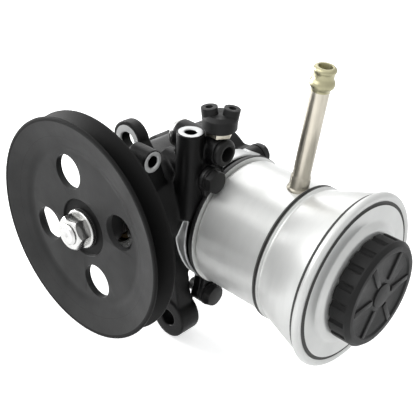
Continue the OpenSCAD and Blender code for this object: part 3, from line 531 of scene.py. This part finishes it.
def ring_mask_group():
    """A round flat mask, for machined faces and for painted shade: near a plane and within a radius of its centre."""
    group, given, result = new_group(
        "ring_mask",
        (
            ("Coordinates", "Vector", None),
            ("Centre", "Vector", (0, 0, 0)),
            ("Axis", "Vector", (0, 1, 0)),
            ("Inner", "Float", 0.0),
            ("Outer", "Float", 0.01),
            ("Depth", "Float", 0.0005),
        ),
        ("Mask",),
    )
    offset = vector_math(group, "SUBTRACT", given["Coordinates"], given["Centre"]).outputs[0]
    height = vector_math(group, "DOT_PRODUCT", offset, given["Axis"]).outputs["Value"]
    along = vector_math(group, "SCALE", given["Axis"], scale=height).outputs[0]
    radius = vector_math(group, "LENGTH", vector_math(group, "SUBTRACT", offset, along).outputs[0]).outputs["Value"]
    near = compute(group, "LESS_THAN", compute(group, "ABSOLUTE", height), given["Depth"])
    inside = compute(group, "LESS_THAN", radius, given["Outer"])
    outside = compute(group, "GREATER_THAN", radius, given["Inner"])
    within = compute(group, "MULTIPLY", inside, outside)
    group.links.new(compute(group, "MULTIPLY", near, within), result["Mask"])
    return group


def placed(tree, group_name, coords, **inputs):
    """Puts a shader group into a material with its own values."""
    node = tree.nodes.new("ShaderNodeGroup")
    node.node_tree = bpy.data.node_groups[group_name]
    tree.links.new(coords, node.inputs["Coordinates"])
    for label, value in inputs.items():
        node.inputs[label].default_value = value
    return node.outputs


def mixed(tree, kind, factor, first, second):
    """A Mix node; each value is a socket, a number or a colour."""
    node = tree.nodes.new("ShaderNodeMix")
    node.data_type = kind
    ends = (6, 7) if kind == "RGBA" else (2, 3)
    tree.links.new(factor, node.inputs[0])
    for index, value in zip(ends, (first, second)):
        if isinstance(value, bpy.types.NodeSocket):
            tree.links.new(value, node.inputs[index])
        else:
            node.inputs[index].default_value = value
    return node.outputs[2 if kind == "RGBA" else 0]


def opaque(colour, level=1.0):
    """A colour with its alpha, made lighter or darker by a level."""
    return tuple(min(1.0, channel * level) for channel in colour) + (1.0,)


def finish(name, colour, rough, metallic=0.0, shift=0.8, scale=60.0, stretch=(1, 1, 1), bump=0.1, specular=0.5,
           wear=None, faces=()):
    """A procedural finish: stained colour, uneven roughness, grain, worn edges, machined faces and faces of painted
    shade.
    wear is (colour, start, full); each face is (settings, colour, roughness, metallic)."""
    material = bpy.data.materials.new(name)
    material.use_nodes = True
    tree = material.node_tree
    tree.nodes.clear()
    shader = add(tree, "ShaderNodeBsdfPrincipled", Metallic=metallic, Specular_IOR_Level=specular)
    output = tree.nodes.new("ShaderNodeOutputMaterial")
    tree.links.new(shader.outputs["BSDF"], output.inputs["Surface"])
    coords = tree.nodes.new("ShaderNodeTexCoord").outputs["Object"]
    grain = placed(tree, "surface_breakup", coords, Scale=scale, Stretch=stretch)
    tint = mixed(tree, "RGBA", grain["Coarse"], opaque(colour), opaque(colour, shift))
    roughness = mixed(tree, "FLOAT", grain["Coarse"], rough[0], rough[1])
    metal = None
    if wear:
        worn = placed(tree, "edge_wear", coords, Start=wear[1], Full=wear[2])["Mask"]
        tint = mixed(tree, "RGBA", worn, tint, opaque(wear[0]))
    for settings, face_colour, face_rough, face_metal in faces:
        mask = placed(tree, "ring_mask", coords, **settings)["Mask"]
        tint = mixed(tree, "RGBA", mask, tint, opaque(face_colour))
        roughness = mixed(tree, "FLOAT", mask, roughness, face_rough)
        if face_metal != metallic:
            metal = mixed(tree, "FLOAT", mask, metallic if metal is None else metal, face_metal)
    tree.links.new(tint, shader.inputs["Base Color"])
    tree.links.new(roughness, shader.inputs["Roughness"])
    if metal is not None:
        tree.links.new(metal, shader.inputs["Metallic"])
    relief = add(tree, "ShaderNodeBump", Strength=bump, Distance=GRAIN_HEIGHT)
    tree.links.new(grain["Fine"], relief.inputs["Height"])
    tree.links.new(relief.outputs["Normal"], shader.inputs["Normal"])
    return material


def ring(centre, axis, depth, inner=0.0, outer=FAR):
    """Settings of a ring-shaped mask: its reach from a plane and the radii between which it lies."""
    return {"Centre": centre, "Axis": axis, "Inner": inner, "Outer": outer, "Depth": depth}


def tank_ring(station, depth, inner=0.0, outer=FAR):
    """A ring round the tank's axis."""
    return ring((station, TANK_AXIS.y, TANK_AXIS.z), ALONG_TANK, depth, inner, outer)


def bore_face(mount, outer):
    """The machined face round the open end of a mount's bore."""
    axis = Vector(MOUNTS[mount]["axis"])
    rise = MOUNTS[mount]["dims"]["length_mm"] * MM / 2
    return ring(Vector(MOUNTS[mount]["pos_m"]) + axis * rise, axis, depth=0.7 * MM, outer=outer)


def pulley_faces(black):
    """The pulley's blacker places: painted shade in the belt groove and on its sides, partly belt rubber there, and in
    the hub recess; the lip and the rear rim are painted blacker too.
    """
    lip = ring(ORIGIN, ALONG_SHAFT, depth=FAR, inner=PULLEY_HIGH.x - 2.3 * MM)
    # Painted shade in the belt groove and on its sides, partly belt rubber
    groove = ring(ORIGIN, ALONG_SHAFT, depth=4.4 * MM, inner=52.0 * MM)
    groove_sides = ring(ORIGIN, ALONG_SHAFT, depth=5.5 * MM, inner=57.5 * MM)
    rear_rim = ring((0, 6.5 * MM, 0), ALONG_SHAFT, depth=1.3 * MM, inner=44 * MM)
    # Painted shade in the recess round the washer
    hub_recess_shade = ring(ORIGIN, ALONG_SHAFT, depth=5 * MM, inner=11.2 * MM, outer=16.5 * MM)
    return [(place, black, 0.6, 0.0) for place in (lip, groove, groove_sides, rear_rim, hub_recess_shade)]


def casting_faces(bare):
    """The casting's machined places."""
    upper_lug = bore_face("upper_mount_bore", 9.3 * MM)
    top_boss = bore_face("top_hole", 6.7 * MM)
    stud_boss = bore_face("stud_hole", 5.9 * MM)
    pad_rim = tank_ring(CUP_LOW.x - 10 * MM, depth=4.6 * MM, inner=38.4 * MM, outer=40.2 * MM)
    return [(place, bare, 0.42, 0.6) for place in (upper_lug, top_boss, stud_boss)] + [(pad_rim, bare, 0.4, 0.8)]


def tank_shade_lines(seam_shade):
    """Painted shade: dark lines in the gaps at the tank's rolled seam, at the collar's edge and in the lid's groove."""
    seam = tank_ring(CUP_HIGH.x, depth=1.25 * MM)
    lid_groove_shade = tank_ring(LID_LOW.x + 5 * MM, depth=2 * MM, inner=LID_RADIUS - 6.2 * MM, outer=LID_RADIUS - 4.2 * MM)
    collar_gap_shade = tank_ring(COLLAR_HIGH.x, depth=1.1 * MM)
    return [(seam, seam_shade, 0.5, 0.0), (lid_groove_shade, seam_shade, 0.6, 0.0), (collar_gap_shade, seam_shade, 0.6, 0.0)]


def make_finishes():
    """Builds the shader groups, a finish for each material slot and one for the flange with its black ears."""
    surface_breakup_group()
    edge_wear_group()
    ring_mask_group()
    tones = colours()
    tip = ring(PIPE_TIP, PIPE_AXIS, depth=13 * MM)
    ears = tank_ring(CUP_LOW.x, depth=6 * MM, inner=39.6 * MM)
    plate = dict(rough=(0.30, 0.42), metallic=0.36, shift=0.84, scale=55.0, stretch=(1.0, 0.35, 0.35), bump=0.04)
    return {
        # Satin paint, with painted shade in the belt groove and hub recess
        "pulley_paint": finish(
            "satin_pulley_paint", tones.pulley, (0.38, 0.52), shift=0.72, scale=45.0, bump=0.12, specular=0.10,
            faces=pulley_faces(tones.pulley_lips_and_shade),
        ),
        "bright_zinc": finish(
            "bright_zinc_plate", tones.zinc, (0.22, 0.34), metallic=1.0, shift=0.9, scale=150.0, bump=0.08,
        ),
        "shaft_steel": finish(
            "ground_shaft_steel", tones.shaft, (0.25, 0.38), metallic=1.0, shift=0.85, scale=90.0, stretch=(1, 6, 1),
            bump=0.08,
        ),
        "bearing_steel": finish(
            "fine_ground_steel", tones.bearing, (0.25, 0.4), metallic=1.0, shift=0.8, scale=120.0, bump=0.05,
        ),
        "bronze": finish("plain_bronze", tones.bronze, (0.4, 0.55), metallic=1.0, shift=0.7, scale=80.0),
        "black_casting": finish(
            "black_casting_paint", tones.casting, (0.30, 0.46), shift=1.6, scale=70.0, bump=0.3, specular=0.14,
            wear=(tones.worn_casting, 0.56, 0.68), faces=casting_faces(tones.machined),
        ),
        "black_bolts": finish(
            "black_oxide", tones.bolts, (0.36, 0.5), shift=1.6, scale=120.0, bump=0.12, specular=0.18,
            wear=(tones.worn_bolts, 0.56, 0.7),
        ),
        "rubber": finish("matt_rubber", tones.rubber, (0.7, 0.85), shift=1.4, scale=150.0, bump=0.2),
        "yellow_zinc": finish(
            "passivated_plate", tones.pipe, (0.26, 0.42), metallic=1.0, shift=0.42, scale=70.0, stretch=(1, 1, 0.16),
            bump=0.06, faces=[(tip, tones.pipe_tip, 0.4, 1.0)],
        ),
        "black_plastic": finish(
            "moulded_black_plastic", tones.plastic, (0.42, 0.56), shift=1.35, scale=90.0, bump=0.22, specular=0.16,
        ),
        # Plated sheet, with painted shade lines in its seam gaps and lid groove
        "tank_sheet": finish("plated_tank_sheet", tones.tank, faces=tank_shade_lines(tones.seam_shade), **plate),
        "filter_wire": finish("filter_gauze_wire", tones.gauze, (0.4, 0.55), metallic=1.0, shift=0.8, scale=200.0),
        "flange_sheet": finish("plated_flange", tones.tank, faces=[(ears, tones.casting, 0.5, 0.0)], **plate),
    }


FINISHES = {}


def finish_of(node):
    """The finish of a CAD node's material slot; all are made at the first call."""
    if not FINISHES:
        FINISHES.update(make_finishes())
    return FINISHES["flange_sheet" if node == "reservoir_flange" else SLOT_OF[node]]


# Operators


class PUMP_OT_pulley(bpy.types.Operator):
    """Turn the pulley with its belt groove, cut its web holes and turn the washer and the shaft"""

    bl_idname = "pump.pulley"
    bl_label = "Pulley and Shaft"

    def execute(self, context):
        size = sizes()
        rim = PULLEY_HIGH.x / MM
        front = PULLEY_LOW.y / MM
        back = -front
        hub_back = PULLEY_HIGH.y / MM
        hub = WASHER_HIGH.y / MM
        bore, washer_seat, hub_edge = 8.55, 11.3, 16
        hub_groove = hub + 1.5
        web_back = hub + 3.5
        floor = rim - size.groove_depth / MM
        half_floor = 2.1
        bevel = 1.6
        inner = floor - 5.8
        piece = turned_mm(
            [
                (bore, hub, 0.3), (washer_seat, hub, 0.25), (washer_seat, hub_groove, 0.3), (hub_edge, hub_groove, 0.4),
                (16.6, hub, 0.4), (inner - 3, hub, 2.2), (inner, front + 4, 2.2), (rim - 2.1, front + 0.15, 0.6),
                (rim - 1.4, front, 0.3), (rim - 0.2, front + 0.25, 0.3), (rim, front + bevel, 0.5),
                (floor, -half_floor, 0.6), (floor, half_floor, 0.6), (rim, back - bevel, 0.5),
                (rim - 0.2, back - 0.25, 0.3), (rim - 2, back, 0.4), (inner + 1, back, 0.6), (inner - 2, web_back, 2.0),
                (hub_edge, web_back, 1.5), (14, hub_back, 0.6), (bore, hub_back, 0.3),
            ],
            ALONG_SHAFT, ORIGIN, size.steps,
        )
        for quarter in range(4):
            turn = size.web_hole_turn + quarter * math.pi / 2
            place = (size.web_hole_circle * math.cos(turn), hub * MM, size.web_hole_circle * math.sin(turn))
            drop_selection()
            bpy.ops.mesh.primitive_cylinder_add(
                vertices=72, radius=size.web_hole, depth=16 * MM, location=place, rotation=(math.pi / 2, 0, 0),
            )
            cut(piece, bpy.context.object)
        round_edges(piece, 0.35 * MM, 50)
        smooth(piece, 30)
        settle(piece, "pulley_turned", "pulley", finish_of("pulley"))

        hole, edge, thickness = 6.2, 11, 2.5
        washer = turned_mm(
            [(hole, 0, 0.2), (10.3, 0, 0.3), (edge, 0.6, 0.3), (edge, thickness, 0.2), (hole, thickness, 0.2)],
            ALONG_SHAFT, ORIGIN, SMALL_STEPS, WASHER_LOW.y,
        )
        smooth(washer)
        settle(washer, "washer_turned", "nut_washer", finish_of("nut_washer"))

        length = (SHAFT_HIGH.y - SHAFT_LOW.y) / MM
        proud = hub - SHAFT_LOW.y / MM
        crest = size.thread / MM
        root = crest - 0.55
        pitch = 1.0
        journal, tail = 8.5, 7
        outline = [(0, 0.9, 0), (1.3, 0, 0.15), (crest - 1.2, 0, 0.2)]
        station = 0.7
        while station < proud - pitch:
            outline += [
                (root, station, 0), (crest, station + 0.35, 0.08), (crest, station + 0.5, 0.08),
                (root, station + 0.9, 0),
            ]
            station += pitch
        outline += [
            (crest, proud, 0), (journal, proud + 0.5, 0.3), (journal, length - 37, 0.3), (tail, length - 36, 0.3),
            (tail, length - 1, 0.3), (tail - 1, length, 0.3), (0, length, 0),
        ]
        shaft = turned_mm(outline, ALONG_SHAFT, ORIGIN, SMALL_STEPS, SHAFT_LOW.y)
        smooth(shaft)
        settle(shaft, "shaft_turned", "pump_shaft", finish_of("pump_shaft"))
        return {"FINISHED"}


class PUMP_OT_castings(bpy.types.Operator):
    """Round the edges of the cast housing and its rear cover"""

    bl_idname = "pump.castings"
    bl_label = "Castings"

    def execute(self, context):
        for node, name in (("front_housing", "housing_casting"), ("rear_cover", "rear_cover_casting")):
            piece = cast_copy(node, sizes().casting_voxel)
            settle(piece, name, node, finish_of(node))
        return {"FINISHED"}


class PUMP_OT_fittings(bpy.types.Operator):
    """Round the edges of the nut, bolts, plugs, air valve, flange and cap"""

    bl_idname = "pump.fittings"
    bl_label = "Fittings and Cap"

    def execute(self, context):
        for node, width in EDGE_WIDTHS.items():
            settle(edged_copy(node, width * MM), node + "_edged", node, finish_of(node))
        return {"FINISHED"}


class PUMP_OT_tank(bpy.types.Operator):
    """Turn the tank's cup, flared collar and beaded lid"""

    bl_idname = "pump.tank"
    bl_label = "Tank"

    def execute(self, context):
        size = sizes()
        sheet = size.sheet / MM
        seam = size.seam / MM
        centre = (0, TANK_AXIS.y, TANK_AXIS.z)
        wall = (CUP_HIGH.z - CUP_LOW.z) / 2 / MM - seam
        inside = wall - sheet
        length = (CUP_HIGH.x - CUP_LOW.x) / MM
        inlet = 9
        cup = turned_mm(
            [
                (inlet, 0, 0), (wall, 0, 4), (wall, length - 1.9, 0.3), (wall + seam, length - 1.6, 0.5),
                (wall + seam, length - 0.3, 0.4), (wall + 0.3, length, 0), (inside, length, 0), (inside, sheet, 2.8),
                (inlet, sheet, 0),
            ],
            ALONG_TANK, centre, size.steps, CUP_LOW.x,
        )
        smooth(cup)
        settle(cup, "tank_cup", "reservoir_cup", finish_of("reservoir_cup"))

        flare = (COLLAR_HIGH.x - COLLAR_LOW.x) / MM
        wide = (COLLAR_HIGH.z - COLLAR_LOW.z) / 2 / MM
        collar = turned_mm(
            [
                (inside, 0, 0), (wall + 0.3, 0, 0), (wall + seam, 0.3, 0.4), (wall + seam, 1.4, 0.4), (wall, 1.9, 0.3),
                (wall, 3.0, 0.3), (wall + 1, 3.6, 0.8), (wide, flare, 0.3), (wide - sheet, flare, 0),
                (inside + 1, 4.6, 0.6), (inside, 3.4, 0.3),
            ],
            ALONG_TANK, centre, size.steps, COLLAR_LOW.x,
        )
        smooth(collar)
        settle(collar, "tank_collar", "reservoir_collar", finish_of("reservoir_collar"))

        bead = size.bead / MM
        neck = size.neck / MM
        bead_at = LID_RADIUS / MM - bead
        height = (LID_HIGH.x - LID_LOW.x) / MM
        top = 2 * bead
        rise = top + 3
        line = top - 0.9
        outline = [
            (neck - sheet, height, 0.3), (neck, height, 0.4), (neck, rise, 0.8), (neck + 5.6, rise, 1.2),
            (neck + 8.6, top, 1.2), (bead_at - 3.6, top, 0.3), (bead_at - 3.1, line, 0.3), (bead_at - 2.0, line, 0.2),
        ]
        for angle in BEAD_ANGLES:
            turn = math.radians(angle)
            outline.append((bead_at + bead * math.cos(turn), bead + bead * math.sin(turn), 0))
        outline += [
            (bead_at - 1.2, top - sheet, 0), (neck + 9, top - sheet, 0.6), (neck + 6, rise - sheet, 0.6),
            (neck - sheet, rise - sheet, 0),
        ]
        lid = turned_mm(outline, ALONG_TANK, centre, size.steps, LID_LOW.x)
        smooth(lid)
        settle(lid, "tank_lid", "reservoir_lid", finish_of("reservoir_lid"))
        return {"FINISHED"}


class PUMP_OT_return_pipe(bpy.types.Operator):
    """Turn the leaning return pipe with its brazed foot and its beaded hose end"""

    bl_idname = "pump.return_pipe"
    bl_label = "Return Pipe"

    def execute(self, context):
        size = sizes()
        wall = size.pipe / MM
        bore = wall - 1.2
        rise = size.pipe_rise / MM
        buried = -3.5
        bead = wall + 1.7
        sleeve = wall + 0.6
        hose_seat = wall + 0.5
        barb = wall + 1.1
        pipe = turned_mm(
            [
                (bore, buried, 0), (wall, buried, 0), (wall, -0.9, 0), (bead, -0.6, 0.3), (wall + 1.3, 0.7, 0.5),
                (sleeve, 1.4, 0.3), (sleeve, 7.6, 0.6), (wall, 9, 0.6), (wall, rise - 12, 0.8), (bead, rise - 10, 0.9),
                (bead, rise - 8, 0.9), (hose_seat, rise - 6, 0.9), (hose_seat, rise - 3.2, 0.6),
                (barb, rise - 2.2, 0.5), (barb, rise - 1, 0.5), (wall, rise, 0.4), (bore, rise, 0.3),
            ],
            (0, 0, 1), ORIGIN, PIPE_STEPS,
        )
        pipe.rotation_euler = (0, math.atan2(PIPE_AXIS.x, PIPE_AXIS.z), 0)
        pipe.location = PIPE_TIP - PIPE_AXIS * size.pipe_rise
        work_on(pipe)
        bpy.ops.object.transform_apply(location=True, rotation=True, scale=True)
        smooth(pipe)
        settle(pipe, "return_pipe_turned", "return_pipe", finish_of("return_pipe"))
        return {"FINISHED"}


class PUMP_OT_valve_spring(bpy.types.Operator):
    """Shade the valve's spring smooth and give it a mesh of its own"""

    bl_idname = "pump.valve_spring"
    bl_label = "Valve Spring"

    def execute(self, context):
        spring = copied("flow_valve_spring")
        smooth(spring, 60)
        settle(spring, "valve_spring_coil", "flow_valve_spring", finish_of("flow_valve_spring"))
        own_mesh(spring)
        return {"FINISHED"}


class PUMP_OT_inner_finishes(bpy.types.Operator):
    """Give every CAD solid that stays its own finish"""

    bl_idname = "pump.inner_finishes"
    bl_label = "Inner Finishes"

    def execute(self, context):
        for node, solid in NODES.items():
            solid.data.materials.clear()
            solid.data.materials.append(finish_of(node))
        return {"FINISHED"}


class PUMP_OT_stage(bpy.types.Operator):
    """Lay the pale floor, hang the lights and set the camera"""

    bl_idname = "pump.stage"
    bl_label = "Stage"

    def execute(self, context):
        scene = context.scene
        drop_selection()
        bpy.ops.mesh.primitive_plane_add(size=FLOOR_SIZE, location=(0, 0, CAD_BOX[0][2] - MM))
        floor = context.object
        floor.name = "studio_floor"
        work_on(floor)
        bpy.ops.object.transform_apply(location=True, rotation=True, scale=True)
        floor.data.materials.append(floor_finish())
        white_world(scene)
        for lamp in LAMPS:
            hang_light(*lamp)
        camera = bpy.data.objects.new("photo_camera", bpy.data.cameras.new("photo_camera"))
        scene.collection.objects.link(camera)
        camera.data.lens = PHOTO_LENS
        camera.data.sensor_width = 36.0
        camera.data.clip_start = 0.01
        camera.matrix_world = photo_view()
        scene.camera = camera
        scene.view_settings.view_transform = "Standard"
        return {"FINISHED"}


def photo_view():
    """The photograph's viewpoint, fitted to the pump's outline."""
    azimuth, elevation, roll = (math.radians(angle) for angle in PHOTO_ANGLES)
    level = math.cos(elevation)
    back = Vector((math.sin(azimuth) * level, -math.cos(azimuth) * level, math.sin(elevation)))
    right = Vector((math.cos(azimuth), math.sin(azimuth), 0))
    up = back.cross(right)
    tilted_right = right * math.cos(roll) + up * math.sin(roll)
    tilted_up = up * math.cos(roll) - right * math.sin(roll)
    view = Matrix((tilted_right, tilted_up, back)).transposed().to_4x4()
    view.translation = PHOTO_PLACE
    return view


def shown_rays(tree):
    """A mask that is 1 for camera, glossy and transmission rays."""
    rays = tree.nodes.new("ShaderNodeLightPath").outputs
    seen = compute(tree, "MAXIMUM", rays["Is Camera Ray"], rays["Is Glossy Ray"])
    return compute(tree, "MAXIMUM", seen, rays["Is Transmission Ray"])


def floor_finish():
    """Pale floor that looks white in pictures and reflections but keeps the pump's shadow."""
    material = bpy.data.materials.new("pale_floor")
    material.use_nodes = True
    tree = material.node_tree
    tree.nodes.clear()
    matt = add(tree, "ShaderNodeBsdfDiffuse", Color=(0.86, 0.86, 0.86, 1))
    glow = add(tree, "ShaderNodeEmission", Color=(1, 1, 1, 1))
    tree.links.new(compute(tree, "MULTIPLY", shown_rays(tree), FLOOR_GLOW), glow.inputs["Strength"])
    both = tree.nodes.new("ShaderNodeAddShader")
    tree.links.new(matt.outputs[0], both.inputs[0])
    tree.links.new(glow.outputs[0], both.inputs[1])
    output = tree.nodes.new("ShaderNodeOutputMaterial")
    tree.links.new(both.outputs[0], output.inputs["Surface"])
    return material


def white_world(scene):
    """A world that looks white in pictures and reflections and lights the pump more softly."""
    world = bpy.data.worlds.new("studio_world")
    scene.world = world
    world.use_nodes = True
    world.cycles.sampling_method = "NONE"
    tree = world.node_tree
    tree.nodes.clear()
    soft = add(tree, "ShaderNodeBackground", Color=(0.96, 0.98, 1.0, 1), Strength=WORLD_LIGHT)
    white = add(tree, "ShaderNodeBackground", Color=(1, 1, 1, 1), Strength=1.0)
    choice = tree.nodes.new("ShaderNodeMixShader")
    tree.links.new(shown_rays(tree), choice.inputs["Fac"])
    tree.links.new(soft.outputs[0], choice.inputs[1])
    tree.links.new(white.outputs[0], choice.inputs[2])
    output = tree.nodes.new("ShaderNodeOutputWorld")
    tree.links.new(choice.outputs[0], output.inputs["Surface"])


def hang_light(name, place, target, size, power):
    """Hangs a square lamp that faces its target."""
    lamp = bpy.data.lights.new(name, "AREA")
    lamp.size = size
    lamp.energy = power
    light = bpy.data.objects.new(name, lamp)
    bpy.context.scene.collection.objects.link(light)
    light.location = place
    light.rotation_euler = (Vector(target) - Vector(place)).to_track_quat("-Z", "Y").to_euler()


class PUMP_PT_pieces(bpy.types.Panel):
    """Lists the pump's pieces in the order in which they are made"""

    bl_idname = "PUMP_PT_pieces"
    bl_label = "Steering Pump"
    bl_space_type = "VIEW_3D"
    bl_region_type = "UI"
    bl_category = "Pump"

    def draw(self, context):
        for operator in OPERATORS:
            self.layout.operator(operator.bl_idname)
        for group in (context.scene.pump_sizes, context.scene.pump_colours):
            for name in group.__annotations__:
                self.layout.prop(group, name)


OPERATORS = (
    PUMP_OT_stage, PUMP_OT_inner_finishes, PUMP_OT_pulley, PUMP_OT_castings, PUMP_OT_fittings, PUMP_OT_tank,
    PUMP_OT_return_pipe, PUMP_OT_valve_spring,
)
CLASSES = (PumpSizes, PumpColours) + OPERATORS + (PUMP_PT_pieces,)


def register():
    for cls in CLASSES:
        bpy.utils.register_class(cls)
    bpy.types.Scene.pump_sizes = PointerProperty(type=PumpSizes)
    bpy.types.Scene.pump_colours = PointerProperty(type=PumpColours)


def unregister():
    del bpy.types.Scene.pump_colours
    del bpy.types.Scene.pump_sizes
    for cls in reversed(CLASSES):
        bpy.utils.unregister_class(cls)


def main():
    register()
    bpy.ops.pump.stage()
    bpy.ops.pump.inner_finishes()
    bpy.ops.pump.pulley()
    bpy.ops.pump.castings()
    bpy.ops.pump.fittings()
    bpy.ops.pump.tank()
    bpy.ops.pump.return_pipe()
    bpy.ops.pump.valve_spring()
    drop_selection()


if __name__ == "__main__":
    main()
